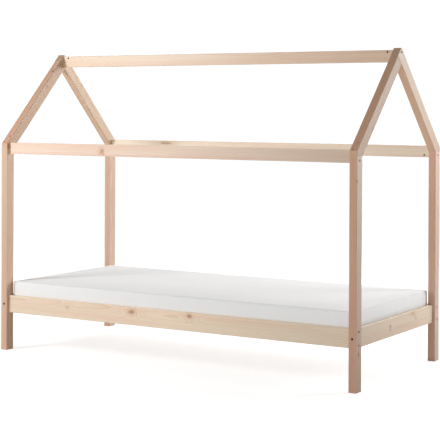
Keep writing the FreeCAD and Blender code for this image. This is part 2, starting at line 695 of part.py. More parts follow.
dowel = document.addObject("Part::Cylinder", "dowel_rod")
bind(dowel, Radius="Sizes.dowel_diameter / 2", Height="Sizes.dowel_length")
place(dowel, ("0", "0", "-Sizes.dowel_length / 2"))
dowel_shape = document.addObject("Part::Compound", "dowel")
dowel_shape.Links = [dowel]
for name, lines in (
        ("end_rail_dowels", [line for pair in end_rail_dowels.values() for line in pair]),
        ("eaves_rail_dowels", list(eaves_rail_dowels.values())),
        ("ridge_dowels", list(ridge_dowels.values()))):
    copies(name, dowel_shape, [line.dowel_place() for line in lines])

foot_screw = screw_shape("foot_screw", "frame_screw", "Sizes.foot_screw_length")
copies("rafter_foot_screws", foot_screw,
       [(seat, UPRIGHT) for pair in foot_screw_seats.values() for seat in pair])
apex_screw = screw_shape("apex_screw", "frame_screw", "Sizes.apex_screw_length")
copies("apex_screws", apex_screw,
       [(apex_seat(crossing), SQUARE_TO_SLOPE) for pair in apex_screw_crossings.values() for crossing in pair])
base_screw = screw_shape("base_screw", "base_screw", "Sizes.base_screw_length")
copies("ledge_screws", base_screw, ledge_screw_places)
copies("slat_screws", base_screw,
       [((x, f"{sign}Places.ledge_middle_y", "Places.slat_top - Sizes.base_screw_recess"), UPRIGHT)
        for x in slat_x for sign in SIDES.values()])

# ---------------------------------------------------------------- checks and export
document.recompute()
faults = [thing.Name for thing in document.Objects if {"Invalid", "Error"} & set(thing.State)]
faults += [thing.Label for thing in pieces if thing.Shape.isNull() or not thing.Shape.isValid()]
if faults:
    raise RuntimeError("failed: " + ", ".join(faults))

os.makedirs("parts", exist_ok=True)
for thing in pieces:
    thing.Shape.exportStep(f"parts/{thing.Label}.step")
    box = thing.Shape.BoundBox
    print(f"{thing.Label}: {len(thing.Shape.Solids)} solid(s), {thing.Shape.Volume / 1000:.1f} cm3, "
          f"z {box.ZMin:.1f} to {box.ZMax:.1f}")
print(f"{len(pieces)} pieces")
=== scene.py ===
"""Looks of the house frame bed: solid pine timbers, steel fasteners and a white mattress, in a studio.

Lengths are in metres. X runs along the bed, Y across it (the front is -Y) and Z up, with the origin
on the floor in the middle of the bed.
"""

import logging
import math
import random
from collections.abc import Iterable
from dataclasses import dataclass, field
from enum import Enum

import bmesh
import bpy
from mathutils import Matrix, Vector, noise

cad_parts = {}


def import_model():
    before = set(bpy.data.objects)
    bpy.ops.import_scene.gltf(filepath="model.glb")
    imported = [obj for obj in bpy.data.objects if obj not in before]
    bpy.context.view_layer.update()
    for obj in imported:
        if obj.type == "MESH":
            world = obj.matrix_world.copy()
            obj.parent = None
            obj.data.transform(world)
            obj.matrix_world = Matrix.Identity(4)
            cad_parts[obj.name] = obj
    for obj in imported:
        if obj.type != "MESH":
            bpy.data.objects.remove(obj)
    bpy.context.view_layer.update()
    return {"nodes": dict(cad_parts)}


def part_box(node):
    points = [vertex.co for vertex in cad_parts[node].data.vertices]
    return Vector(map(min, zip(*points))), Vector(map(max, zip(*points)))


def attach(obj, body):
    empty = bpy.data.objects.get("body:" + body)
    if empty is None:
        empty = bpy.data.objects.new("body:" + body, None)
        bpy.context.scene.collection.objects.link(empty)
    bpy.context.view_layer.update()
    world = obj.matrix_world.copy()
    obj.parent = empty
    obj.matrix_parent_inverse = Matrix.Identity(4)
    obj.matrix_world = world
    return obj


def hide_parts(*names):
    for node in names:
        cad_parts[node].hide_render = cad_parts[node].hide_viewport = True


log = logging.getLogger("house_frame_bed")

Triple = tuple[float, float, float]
Colour = Point = Triple
Span = tuple[float, float]
Socket = bpy.types.NodeSocket
Piece = bpy.types.Object
MM = 0.001
TINY = 1e-6
# the sine and the cosine of the roof's slope of 45 degrees
ROOF = math.sqrt(0.5)
# the photograph's width and height in pixels
PICTURE = 440


def linear(colour: Colour, alpha: float = 1.0) -> tuple[float, float, float, float]:
    """Turns a colour as seen on a screen into the linear colour that a shader takes.

    Args:
        colour: Red, green and blue from 0 to 1, as a picture holds them.
        alpha: The opacity to put after them.

    Returns:
        The linear red, green, blue and alpha.
    """
    def channel(value: float) -> float:
        """One channel of it."""
        return value / 12.92 if value <= 0.04045 else ((value + 0.055) / 1.055) ** 2.4

    return (*(channel(value) for value in colour), alpha)


# ------------------------ node trees
@dataclass
class NodeBench:
    """Adds and joins the nodes of one tree.

    Attributes:
        tree: The material's or group's node tree.
    """

    tree: bpy.types.NodeTree

    def feed(self, socket: Socket, value: object) -> None:
        """Joins an input to an output, or gives it a plain value."""
        if isinstance(value, Socket):
            self.tree.links.new(value, socket)
        else:
            socket.default_value = value

    def fill(self, node: bpy.types.Node, inputs: dict[str | int, object]) -> None:
        """Gives a node's inputs, by name or number, their values or sockets."""
        for key, value in inputs.items():
            self.feed(node.inputs[key], value)

    def add(self, kind: str, inputs: dict[str | int, object] | None = None,
            **settings: object) -> bpy.types.Node:
        """Adds a node.

        Args:
            kind: The node's type without its usual beginning, such as Math.
            inputs: Values or sockets for its inputs, by name or number.
            **settings: Values for the node's own properties.

        Returns:
            The new node.
        """
        node = self.tree.nodes.new("ShaderNode" + kind)
        for name, value in settings.items():
            setattr(node, name, value)
        self.fill(node, inputs or {})
        return node

    def math(self, operation: str, *values: object) -> Socket:
        """A Math node of up to three values or sockets; returns its result."""
        return self.add("Math", dict(enumerate(values)), operation=operation).outputs[0]

    def vector(self, operation: str, *values: object, output: int = 0) -> Socket:
        """A Vector Math node; returns the output of that number."""
        node = self.add("VectorMath", dict(enumerate(values)), operation=operation)
        return node.outputs[output]

    def dot(self, vector: Socket, axis: Point) -> Socket:
        """How far a vector reaches along an axis."""
        return self.vector("DOT_PRODUCT", vector, Vector(axis), output=1)

    def length(self, vector: Socket) -> Socket:
        """The length of a vector."""
        return self.vector("LENGTH", vector, output=1)

    def mix(self, factor: object, first: object, second: object, blend: str = "MIX") -> Socket:
        """Mixes two colours by a factor; returns the colour."""
        inputs = {0: factor, 6: first, 7: second}
        return self.add("Mix", inputs, data_type="RGBA", blend_type=blend).outputs[2]

    def multiply(self, first: object, second: object) -> Socket:
        """Multiplies two colours."""
        return self.mix(1.0, first, second, "MULTIPLY")

    def grey(self, value: Socket) -> Socket:
        """The grey that is as bright as a value."""
        return self.add("CombineColor", dict.fromkeys(range(3), value)).outputs[0]

    def rise(self, value: object, low: float, high: float) -> Socket:
        """A smooth step from 0 at low to 1 at high."""
        node = self.add("MapRange", {0: value, 1: low, 2: high}, interpolation_type="SMOOTHSTEP")
        return node.outputs[0]

    def fall(self, value: object, low: float, high: float) -> Socket:
        """A smooth step from 1 at low to 0 at high."""
        return self.math("SUBTRACT", 1.0, self.rise(value, low, high))

    def ramp(self, value: object, low: float, high: float, start: float, end: float) -> Socket:
        """A straight ramp from start at low to end at high."""
        return self.add("MapRange", {0: value, 1: low, 2: high, 3: start, 4: end}).outputs[0]

    def noise(self, vector: object, scale: float, detail: float = 2.0) -> Socket:
        """A noise texture; returns its factor."""
        return self.add("TexNoise", {"Vector": vector, "Scale": scale, "Detail": detail}).outputs[0]


def group_tree(name: str, inputs: dict[str, str], outputs: dict[str, str]) -> tuple[NodeBench, dict, dict]:
    """Starts a shader node group.

    Args:
        name: The group's name.
        inputs: Its inputs' types by name, such as Float for NodeSocketFloat.
        outputs: The same of its outputs.

    Returns:
        A bench on the group's tree, its input sockets by name and its output sockets by name.
    """
    tree = bpy.data.node_groups.new(name, "ShaderNodeTree")
    for way, sockets in (("INPUT", inputs), ("OUTPUT", outputs)):
        for label, kind in sockets.items():
            tree.interface.new_socket(label, in_out=way, socket_type="NodeSocket" + kind)
    given = {s.name: s for s in tree.nodes.new("NodeGroupInput").outputs if s.name}
    made = {s.name: s for s in tree.nodes.new("NodeGroupOutput").inputs if s.name}
    return NodeBench(tree), given, made


def blank_material(name: str) -> tuple[bpy.types.Material, NodeBench, bpy.types.Node]:
    """Makes a material with a Principled shader.

    Args:
        name: The material's name.

    Returns:
        The material, a bench on its tree and the Principled node.
    """
    material = bpy.data.materials.new(name)
    material.use_nodes = True
    bench = NodeBench(material.node_tree)
    shader = next(node for node in material.node_tree.nodes if node.type == "BSDF_PRINCIPLED")
    return material, bench, shader


def add_bump(bench: NodeBench, shader: bpy.types.Node, height: Socket, depth: float,
             strength: float = 1.0) -> None:
    """Feeds a height, as a share of a depth in metres, to a shader's normal."""
    bump = bench.add("Bump", {"Strength": strength, "Distance": depth, "Height": height})
    bench.feed(shader.inputs["Normal"], bump.outputs[0])


def new_piece(name: str, data: bpy.types.ID) -> Piece:
    """Makes an object of some data and puts it in the scene."""
    piece = bpy.data.objects.new(name, data)
    bpy.context.scene.collection.objects.link(piece)
    return piece


def mesh_piece(name: str, mesh: bmesh.types.BMesh) -> Piece:
    """Makes an object of a bmesh, which it frees."""
    data = bpy.data.meshes.new(name)
    mesh.to_mesh(data)
    mesh.free()
    return new_piece(name, data)


def put_material(piece: Piece, material: bpy.types.Material) -> None:
    """Puts one material in all of a piece's slots, or in a new slot."""
    if not piece.material_slots:
        piece.data.materials.append(material)
    for slot in piece.material_slots:
        slot.material = material


# ------------------------ wood
class Grain(Enum):
    """The way a timber's grain runs: unit vectors along it, across it and through it."""

    ALONG_BED = ((1, 0, 0), (0, 0, 1), (0, 1, 0))
    ACROSS_BED = ((0, 1, 0), (0, 0, 1), (1, 0, 0))
    UPRIGHT = ((0, 0, 1), (0, 1, 0), (1, 0, 0))
    FRONT_SLOPE = ((0, ROOF, ROOF), (0, ROOF, -ROOF), (1, 0, 0))
    BACK_SLOPE = ((0, -ROOF, ROOF), (0, ROOF, ROOF), (1, 0, 0))
    FLAT_ACROSS = ((0, 1, 0), (1, 0, 0), (0, 0, 1))

    def local(self, place: Vector) -> Vector:
        """A place's distances along, across and through the grain."""
        return Vector([place.dot(Vector(axis)) for axis in self.value])


class Facing(Enum):
    """The way a face of a timber looks, for the painted shade of the faces that look that way."""

    RIGHT = (1, 0, 0)
    FRONT_ROOF = (0, -ROOF, ROOF)
    UNDER_ROOF = (0, -ROOF, -ROOF)


@dataclass(frozen=True)
class ToneAndPaintedLight:
    """How a timber's colour differs from its finish: partly the board's own colour, partly painted light
    and shade.

    Attributes:
        tint: What its whole colour is multiplied by, partly the board's own colour and partly painted
            shade.
        along: Painted light: how bright it is at the start, in the middle and at the end of its grain,
            where the light falls stronger or weaker.
        faces: The painted shade of single faces, darker or lighter as the light falls on them.
    """

    tint: Colour = (1.0, 1.0, 1.0)
    # along and faces paint light and shade into the colour
    along: Triple = (1.0, 1.0, 1.0)
    faces: tuple[tuple[Facing, Colour], ...] = ()


@dataclass(frozen=True)
class Knot:
    """A knot in a timber.

    Attributes:
        place: Its middle, on or near the timber's face.
        radius: Half its width across the grain.
        stretch: How much longer it is along the grain than across it.
        darkness: How dark it is, from 0 for a ghost of a knot to 1.
    """

    place: Point
    radius: float = 0.005
    stretch: float = 1.4
    darkness: float = 0.8


@dataclass(frozen=True)
class WoodFinish:
    """A planed timber, bare or clear-coated, with its growth rings.

    Attributes:
        name: What the finish is called.
        pale: The colour of the early wood.
        ring: The colour of the late wood, the dark line of each ring.
        blush: The colour of the warmer bands along a board.
        end: The colour that the end grain tends to.
        ring_width: The usual distance from ring to ring.
        contrast: How strongly the rings show.
        roughness: The roughness of the early wood.
        relief: How high the late wood stands over the early wood.
        relief_share: How much of that shows.
        end_turn: How squarely a face has to cross the grain to begin to be end grain, and to be all of it.
        painted_shade_turn: The same for looking one way, and taking that way's painted shade.
    """

    name: str
    pale: Colour
    ring: Colour
    blush: Colour
    end: Colour
    ring_width: float = 0.0036
    contrast: float = 0.55
    roughness: float = 0.42
    relief: float = 0.1 * MM
    relief_share: float = 0.2
    end_turn: Span = (0.82, 0.96)
    painted_shade_turn: Span = (0.55, 0.85)

    def material(self, title: str, centre: Vector, length: float, grain: Grain, pith: Vector,
                 knots: Iterable[Knot], tone_and_painted_light: ToneAndPaintedLight) -> bpy.types.Material:
        """Makes the material of one timber.

        Args:
            title: The timber's name.
            centre: The middle of the timber.
            length: How long it is along its grain.
            grain: Which way its grain runs.
            pith: Where the log's middle lay, along, across and through the grain from the timber's middle.
            knots: The timber's knots.
            tone_and_painted_light: How it differs from the finish: its own colour, and painted light and
                shade.

        Returns:
            The material, its rings, bands and knots laid out for that timber.
        """
        material, bench, shader = blank_material(f"{self.name}_{title}")
        coordinates = bench.add("TexCoord").outputs
        from_centre = bench.vector("SUBTRACT", coordinates["Object"], centre)
        axes = [bench.dot(from_centre, axis) for axis in grain.value]
        place = bench.add("CombineXYZ", dict(enumerate(axes))).outputs[0]
        marks: dict[str, object] = {"Core": 0.0, "Halo": 0.0, "Swirl": 0.0}
        for knot in knots:
            spot = bench.add("Group", {
                "Place": place, "Centre": grain.local(Vector(knot.place) - centre), "Radius": knot.radius,
                "Stretch": knot.stretch, "Darkness": knot.darkness}, node_tree=KnotFigure().group()).outputs
            for label, way in (("Core", "MAXIMUM"), ("Halo", "MAXIMUM"), ("Swirl", "ADD")):
                marks[label] = bench.math(way, marks[label], spot[label])
        square = bench.math("ABSOLUTE", bench.dot(coordinates["Normal"], grain.value[0]))
        wood = bench.add("Group", {
            "Place": place, "Pith": pith, "End Grain": bench.rise(square, *self.end_turn), **marks,
            "Ring Width": self.ring_width, "Contrast": self.contrast, "Roughness": self.roughness,
            "Pale": linear(self.pale), "Ring": linear(self.ring), "Blush": linear(self.blush),
            "End": linear(self.end)}, node_tree=WoodFigure().group()).outputs
        # painted light: brighter or darker along the grain, where the light falls stronger or weaker
        start, middle, end = tone_and_painted_light.along
        bright = bench.math("ADD", bench.ramp(axes[0], -length / 2, 0.0, start, middle),
                            bench.ramp(axes[0], 0.0, length / 2, 0.0, end - middle))
        colour = bench.multiply(wood["Color"], bench.grey(bright))
        # the whole colour's tint: partly the board's own colour, partly painted shade
        colour = bench.multiply(colour, (*tone_and_painted_light.tint, 1.0))
        # painted shade: faces that look one way are darkened or lightened, as the light falls on them
        for facing, tint in tone_and_painted_light.faces:
            turn = bench.rise(bench.dot(coordinates["Normal"], facing.value), *self.painted_shade_turn)
            colour = bench.mix(turn, colour, bench.multiply(colour, (*tint, 1.0)))
        bench.fill(shader, {"Base Color": colour, "Roughness": wood["Roughness"],
                            "Specular IOR Level": 0.5})
        add_bump(bench, shader, wood["Height"], self.relief, self.relief_share)
        return material


@dataclass(frozen=True)
class KnotFigure:
    """How a knot is figured, in distances from its middle that are shares of its radius.

    Attributes:
        wobble: How far its edge wanders.
        wobble_scale: How many wanders there are to the metre.
        core: Where the dark core begins to fade, and where it has gone.
        halo: The same for the stained wood round it.
        reach: How fast its push on the rings dies away.
        push: How many radii it pushes the rings.
    """

    wobble: float = 0.5
    wobble_scale: float = 260.0
    core: Span = (0.75, 1.15)
    halo: Span = (1.0, 3.2)
    reach: float = -0.12
    push: float = 1.6

    def group(self) -> bpy.types.ShaderNodeTree:
        """Makes the node group of one knot, or finds it.

        Returns:
            A group that gives its dark core, the stained wood round it and how far it bends the rings.
        """
        if "knot" in bpy.data.node_groups:
            return bpy.data.node_groups["knot"]
        bench, given, made = group_tree(
            "knot",
            {"Place": "Vector", "Centre": "Vector", "Radius": "Float", "Stretch": "Float",
             "Darkness": "Float"},
            {"Core": "Float", "Halo": "Float", "Swirl": "Float"})
        shape = bench.add("CombineXYZ", {0: given["Stretch"], 1: 1.0, 2: 1.0}).outputs[0]
        offset = bench.vector("DIVIDE", bench.vector("SUBTRACT", given["Place"], given["Centre"]), shape)
        distance = bench.math("DIVIDE", bench.length(offset), given["Radius"])
        wander = bench.noise(given["Place"], self.wobble_scale)
        wander = bench.math("MULTIPLY_ADD", wander, self.wobble, -self.wobble / 2)
        uneven = bench.math("ADD", distance, wander)
        for label, edge in (("Core", self.core), ("Halo", self.halo)):
            bench.feed(made[label], bench.math("MULTIPLY", bench.fall(uneven, *edge), given["Darkness"]))
        square = bench.math("POWER", distance, 2.0)
        bend = bench.math("EXPONENT", bench.math("MULTIPLY", square, self.reach))
        bend = bench.math("MULTIPLY", bench.math("MULTIPLY", bend, given["Radius"]), self.push)
        bench.feed(made["Swirl"], bend)
        return bench.tree


@dataclass(frozen=True)
class WoodFigure:
    """How sawn softwood is figured.

    Attributes:
        board_shift: How far boards lie apart in the pattern, for each metre between their piths.
        drift: How far the pith wanders.
        ring_drift: How many rings the rings wander.
        late: Where the late wood begins in a ring, from its inside, and where it is darkest.
        late_edge: Where it stops.
        faintest: How strong the faintest late wood is.
        pith_spots: The noise of the pith's wander: spots to the metre along and across, and its detail.
        ring_spots: The same for the rings' wander.
        fibre_spots: The same for the fibres.
        band_spots: The same for the blush.
        bands: The noise at which the blush begins, and at which it is full.
        fibre: How much the fibres change the brightness.
        polish: How much the late wood changes the roughness.
        heights: How high the late wood and the fibres stand, as shares of the relief.
        shares: How much of the end colour, the stain and the knot's heart shows at most.
        stain: The colour of the wood round a knot.
        hearts: The colours of a pale and of a dark knot's heart.
        heart_turn: How dark a knot has to be for its heart to begin to darken, and to be dark.
    """

    board_shift: Point = (31.0, 17.0, 23.0)
    drift: float = 0.03
    ring_drift: float = 0.6
    late: Span = (0.25, 0.9)
    late_edge: Span = (0.93, 1.0)
    faintest: float = 0.25
    pith_spots: Triple = (1.1, 5.0, 1.0)
    ring_spots: Triple = (2.0, 22.0, 1.0)
    fibre_spots: Triple = (16.0, 420.0, 1.0)
    band_spots: Triple = (0.8, 26.0, 3.0)
    bands: Span = (0.38, 0.66)
    fibre: float = 0.1
    polish: float = -0.08
    heights: Span = (0.6, 0.5)
    shares: Triple = (0.55, 0.42, 0.92)
    stain: Colour = (0.76, 0.52, 0.34)
    hearts: tuple[Colour, Colour] = ((0.63, 0.41, 0.25), (0.33, 0.19, 0.12))
    heart_turn: Span = (0.6, 0.85)

    def group(self) -> bpy.types.ShaderNodeTree:
        """Makes the node group of the wood, or finds it.

        Returns:
            A group of rings round a wandering pith, bands, fibres, knots and end grain.
        """
        if "sawn_wood" in bpy.data.node_groups:
            return bpy.data.node_groups["sawn_wood"]
        bench, given, made = group_tree(
            "sawn_wood",
            {"Place": "Vector", "Pith": "Vector", "Core": "Float", "Halo": "Float", "Swirl": "Float",
             "End Grain": "Float", "Ring Width": "Float", "Contrast": "Float", "Roughness": "Float",
             "Pale": "Color", "Ring": "Color", "Blush": "Color", "End": "Color"},
            {"Color": "Color", "Roughness": "Float", "Height": "Float"})
        # each board has its own patch of the pattern: the pith's place tells the boards apart
        shift = bench.vector("MULTIPLY", given["Pith"], Vector(self.board_shift))
        patch = bench.vector("ADD", given["Place"], shift)

        def spots(along: float, across: float, detail: float, output: int = 0) -> Socket:
            """Noise with so many spots to the metre along and across the grain."""
            vector = bench.vector("MULTIPLY", patch, Vector((along, across, across)))
            node = bench.add("TexNoise", {"Vector": vector, "Scale": 1.0, "Detail": detail})
            return node.outputs[output]

        rings = self.rings(bench, given, spots(*self.pith_spots, output=1), spots(*self.ring_spots))
        step = bench.math("FRACT", rings)
        years = {"W": bench.math("FLOOR", rings)}
        year = bench.add("TexWhiteNoise", years, noise_dimensions="1D").outputs[0]
        strength = bench.math("MULTIPLY_ADD", year, 1.0 - self.faintest, self.faintest)
        late = bench.math("MULTIPLY", bench.rise(step, *self.late), bench.fall(step, *self.late_edge))
        late = bench.math("MULTIPLY", late, strength)
        fibres = spots(*self.fibre_spots)
        bands = bench.rise(spots(*self.band_spots), *self.bands)
        colour = bench.mix(bands, given["Pale"], given["Blush"])
        colour = bench.mix(bench.math("MULTIPLY", late, given["Contrast"]), colour, given["Ring"])
        grey = bench.grey(bench.math("MULTIPLY_ADD", fibres, self.fibre, 1.0 - self.fibre / 2))
        colour = bench.multiply(colour, grey)
        pale_heart, dark_heart = (linear(heart) for heart in self.hearts)
        heart = bench.mix(bench.rise(given["Core"], *self.heart_turn), pale_heart, dark_heart)
        layers = ((given["End Grain"], given["End"]), (given["Halo"], linear(self.stain)),
                  (given["Core"], heart))
        for share, (mask, layer) in zip(self.shares, layers):
            colour = bench.mix(bench.math("MULTIPLY", mask, share), colour, layer)
        bench.feed(made["Color"], colour)
        bench.feed(made["Roughness"], bench.math("MULTIPLY_ADD", late, self.polish, given["Roughness"]))
        late_height, fibre_height = self.heights
        fibres = bench.math("MULTIPLY", fibres, fibre_height)
        bench.feed(made["Height"], bench.math("MULTIPLY_ADD", late, late_height, fibres))
        return bench.tree

    def rings(self, bench: NodeBench, given: dict[str, Socket], pith_noise: Socket,
              ring_noise: Socket) -> Socket:
        """Counts the rings from the pith.

        Args:
            bench: The bench of the group's tree.
            given: The group's inputs.
            pith_noise: Noise for the pith's wander, as a colour.
            ring_noise: Noise for the rings' own wander.

        Returns:
            How many rings lie between the pith and the place.
        """
        wander = bench.vector("SUBTRACT", pith_noise, Vector((0.5, 0.5, 0.5)))
        wander = bench.vector("MULTIPLY", wander, Vector((0.0, self.drift, self.drift)))
        place = bench.vector("ADD", given["Place"], wander)
        from_pith = bench.vector("SUBTRACT", place, given["Pith"])
        from_pith = bench.vector("MULTIPLY", from_pith, Vector((0, 1, 1)))
        radius = bench.math("ADD", bench.length(from_pith), given["Swirl"])
        rings = bench.math("DIVIDE", radius, given["Ring Width"])
        return bench.math("MULTIPLY_ADD", ring_noise, self.ring_drift, rings)


POST_PINE = WoodFinish("post_pine", (0.885, 0.755, 0.65), (0.78, 0.60, 0.47), (0.875, 0.715, 0.61),
                       (0.72, 0.53, 0.40))
RAFTER_PINE = WoodFinish("rafter_pine", (0.885, 0.76, 0.635), (0.77, 0.59, 0.44), (0.865, 0.70, 0.57),
                         (0.60, 0.43, 0.34), ring_width=0.0046, contrast=0.6, roughness=0.52)
RAIL_PINE = WoodFinish("rail_pine", (0.965, 0.89, 0.795), (0.89, 0.77, 0.63), (0.96, 0.85, 0.76),
                       (0.75, 0.56, 0.42))
TOP_PINE = WoodFinish("top_rail_pine", (0.95, 0.845, 0.74), (0.85, 0.69, 0.55), (0.94, 0.80, 0.69),
                      (0.76, 0.57, 0.43))
SLAT_PINE = WoodFinish("slat_pine", (0.90, 0.79, 0.64), (0.79, 0.62, 0.45), (0.88, 0.72, 0.56),
                       (0.72, 0.54, 0.38), contrast=0.7, roughness=0.65)
BEECH = WoodFinish("beech", (0.83, 0.68, 0.52), (0.72, 0.54, 0.38), (0.82, 0.62, 0.47), (0.64, 0.46, 0.32),
                   ring_width=0.0018, contrast=0.4, roughness=0.6)


@dataclass
class Timber:
    """One timber of the frame, a CAD node that keeps its shape and gets its wood.

    Attributes:
        node: The CAD node's name.
        grain: Which way its grain runs.
        finish: Its wood.
        knots: The knots that the photograph shows.
        tone_and_painted_light: How it differs from its finish: its own colour, and painted light and shade.
        hidden_knots: How many more it has, on the faces turned away in the photograph.
        clear_end: The share of its length at each end that those knots keep clear of.
        pith_across: The least and the most that the log's middle lay off the timber's, across the grain.
        pith_through: The same through the grain.
        pith_along: Where it lay along the grain, which only tells the boards apart.
        knot_radius: The least and the most of a hidden knot's radius.
        knot_stretch: The same of its stretch.
        knot_darkness: The same of its darkness.
    """

    node: str
    grain: Grain
    finish: WoodFinish
    knots: tuple[Knot, ...] = ()
    tone_and_painted_light: ToneAndPaintedLight = ToneAndPaintedLight()
    hidden_knots: int = 2
    clear_end: float = 0.1
    pith_across: Span = (0.01, 0.05)
    pith_through: Span = (0.06, 0.11)
    pith_along: Span = (-0.5, 0.5)
    knot_radius: Span = (0.003, 0.0065)
    knot_stretch: Span = (1.1, 1.9)
    knot_darkness: Span = (0.45, 0.9)

    def away_knots(self, low: Vector, high: Vector) -> list[Knot]:
        """Knots on the left or back face, the faces that the photograph doesn't show.

        Args:
            low: The timber's lowest corner.
            high: Its highest corner.

        Returns:
            As many knots as the timber's count of hidden ones, the same each run.
        """
        chance = random.Random(self.node)
        found = []
        for _ in range(self.hidden_knots):
            spot = [chance.uniform(a + self.clear_end * (b - a), b - self.clear_end * (b - a))
                    for a, b in zip(low, high)]
            if self.grain is Grain.ALONG_BED:
                spot[1] = high.y
            elif self.grain is Grain.FLAT_ACROSS:
                spot[2] = low.z
            else:
                spot[0] = low.x
            ranges = (self.knot_radius, self.knot_stretch, self.knot_darkness)
            found.append(Knot(tuple(spot), *[chance.uniform(*span) for span in ranges]))
        return found

    def dress(self, node: Piece) -> None:
        """Gives the timber its wood.

        Args:
            node: The CAD node's object.
        """
        low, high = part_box(self.node)
        chance = random.Random(self.node + " pith")
        across = chance.choice((-1, 1)) * chance.uniform(*self.pith_across)
        through = chance.choice((-1, 1)) * chance.uniform(*self.pith_through)
        pith = Vector((chance.uniform(*self.pith_along), across, through))
        knots = [*self.knots, *self.away_knots(low, high)]
        length = abs((high - low).dot(Vector([abs(part) for part in self.grain.value[0]])))
        middle = (low + high) / 2
        wood = self.finish.material(self.node, middle, length, self.grain, pith, knots, self.tone_and_painted_light)
        put_material(node, wood)
        log.info("%s: %s, %d knots", self.node, self.finish.name, len(knots))


# ------------------------ steel
@dataclass(frozen=True)
class SteelFinish:
    """Plated steel of the bolts, nuts and screws.

    Attributes:
        bright: The colour of the clean plating, darker than plating is, partly painted shade of the holes
            the bolts sit in.
        dull: The colour where it has dulled, darkened the same way.
        roughness: The roughness of the clean plating.
        dulling: How much rougher the dulled plating is.
        patches: How many dull patches there are to the metre.
        patch_edge: The noise at which a patch begins, and at which it is full.
        grit: How many bumps there are to the metre.
        relief: How high they are.
        relief_share: How much of that shows.
    """

    bright: Colour
    dull: Colour
    roughness: float = 0.38
    dulling: float = 0.18
    patches: float = 180.0
    patch_edge: Span = (0.35, 0.7)
    grit: float = 2500.0
    relief: float = 0.03 * MM
    relief_share: float = 0.4

    def material(self) -> bpy.types.Material:
        """Makes the material.

        Returns:
            Plated steel with dull patches.
        """
        material, bench, shader = blank_material("plated_steel")
        place = bench.add("TexCoord").outputs["Object"]
        patch = bench.rise(bench.noise(place, self.patches, 3.0), *self.patch_edge)
        bench.fill(shader, {
            "Base Color": bench.mix(patch, linear(self.bright), linear(self.dull)),
            "Roughness": bench.math("MULTIPLY_ADD", patch, self.dulling, self.roughness),
            "Metallic": 1.0})
        add_bump(bench, shader, bench.noise(place, self.grit, 1.0), self.relief, self.relief_share)
        return material


# the plating's colours are darkened past steel's own, partly painted shade of the bolt holes
STEEL = SteelFinish((0.36, 0.30, 0.26), (0.22, 0.18, 0.155))


# ------------------------ mattress
@dataclass(frozen=True)
class FabricFinish:
    """A plain woven cover.

    Attributes:
        colour: The cloth's colour.
        shade: The slightly darker colour between its threads, painted shade in the weave.
        thread: The distance from thread to thread.
        sheen: How much its fibres catch the light at the edges.
        clouds: How many paler and darker clouds there are to the metre.
        weave_share: How much of its shade comes from the weave, and how much from the clouds.
        roughness: The roughness between the threads.
        thread_roughness: How much rougher the threads are.
        relief: How high the threads stand.
        relief_share: How much of that shows.
    """

    colour: Colour
    shade: Colour
    thread: float = 0.9 * MM
    sheen: float = 0.12
    clouds: float = 9.0
    weave_share: Span = (0.4, 0.6)
    roughness: float = 0.82
    thread_roughness: float = 0.1
    relief: float = 0.12 * MM
    relief_share: float = 0.35

    def material(self) -> bpy.types.Material:
        """Makes the material.

        Returns:
            A woven cloth that doesn't depend on a UV map.
        """
        material, bench, shader = blank_material("cover_cloth")
        place = bench.add("TexCoord").outputs["Object"]
        turns = bench.vector("MULTIPLY", place, Vector((1, 1, 1)) * (2 * math.pi / self.thread))
        parts = bench.add("SeparateXYZ", {0: turns}).outputs
        waves = [bench.math("SINE", part) for part in parts]
        weave: object = 0.5
        for first, second in ((0, 1), (1, 2), (0, 2)):
            crossing = bench.math("MULTIPLY", waves[first], waves[second])
            weave = bench.math("MULTIPLY_ADD", crossing, 0.25, weave)
        # painted shade: the colour darkens between the threads of the weave, mixed with paler and darker
        # clouds of the cloth's own
        layers = zip((weave, bench.noise(place, self.clouds, 3.0)), self.weave_share)
        tint = bench.math("ADD", *[bench.math("MULTIPLY", layer, share) for layer, share in layers])
        bench.fill(shader, {
            "Base Color": bench.mix(tint, linear(self.shade), linear(self.colour)),
            "Roughness": bench.math("MULTIPLY_ADD", weave, self.thread_roughness, self.roughness),
            "Specular IOR Level": 0.2, "Sheen Weight": self.sheen, "Sheen Roughness": 0.5})
        add_bump(bench, shader, weave, self.relief, self.relief_share)
        return material


@dataclass(frozen=True)
class FoamFinish:
    """Soft open-cell foam.

    Attributes:
        colour: The colour of its skin.
        cell: The colour in the middle of its cells, painted shade in the pores.
        cells: How many cells there are to the metre.
        cell_edge: How far from a cell's middle its skin begins, and where it is full, in cells.
        relief: How deep the cells are.
        relief_share: How much of that shows.
    """

    colour: Colour
    cell: Colour
    cells: float = 900.0
    cell_edge: Span = (0.1, 0.6)
    relief: float = 0.4 * MM
    relief_share: float = 0.5

    def material(self) -> bpy.types.Material:
        """Makes the material.

        Returns:
            Foam with fine cells.
        """
        material, bench, shader = blank_material("soft_foam")
        place = bench.add("TexCoord").outputs["Object"]
        cells = bench.add("TexVoronoi", {"Vector": place, "Scale": self.cells}).outputs[0]
        # painted shade: each cell darkens towards its middle, as a pore's hollow would be in shade
        skin = bench.rise(cells, *self.cell_edge)
        bench.fill(shader, {"Base Color": bench.mix(skin, linear(self.cell), linear(self.colour)),
                            "Roughness": 0.95})
        add_bump(bench, shader, skin, self.relief, self.relief_share)
        return material


COVER_CLOTH = FabricFinish((0.975, 0.975, 0.975), (0.95, 0.95, 0.95))
FOAM = FoamFinish((0.95, 0.93, 0.84), (0.82, 0.78, 0.66))


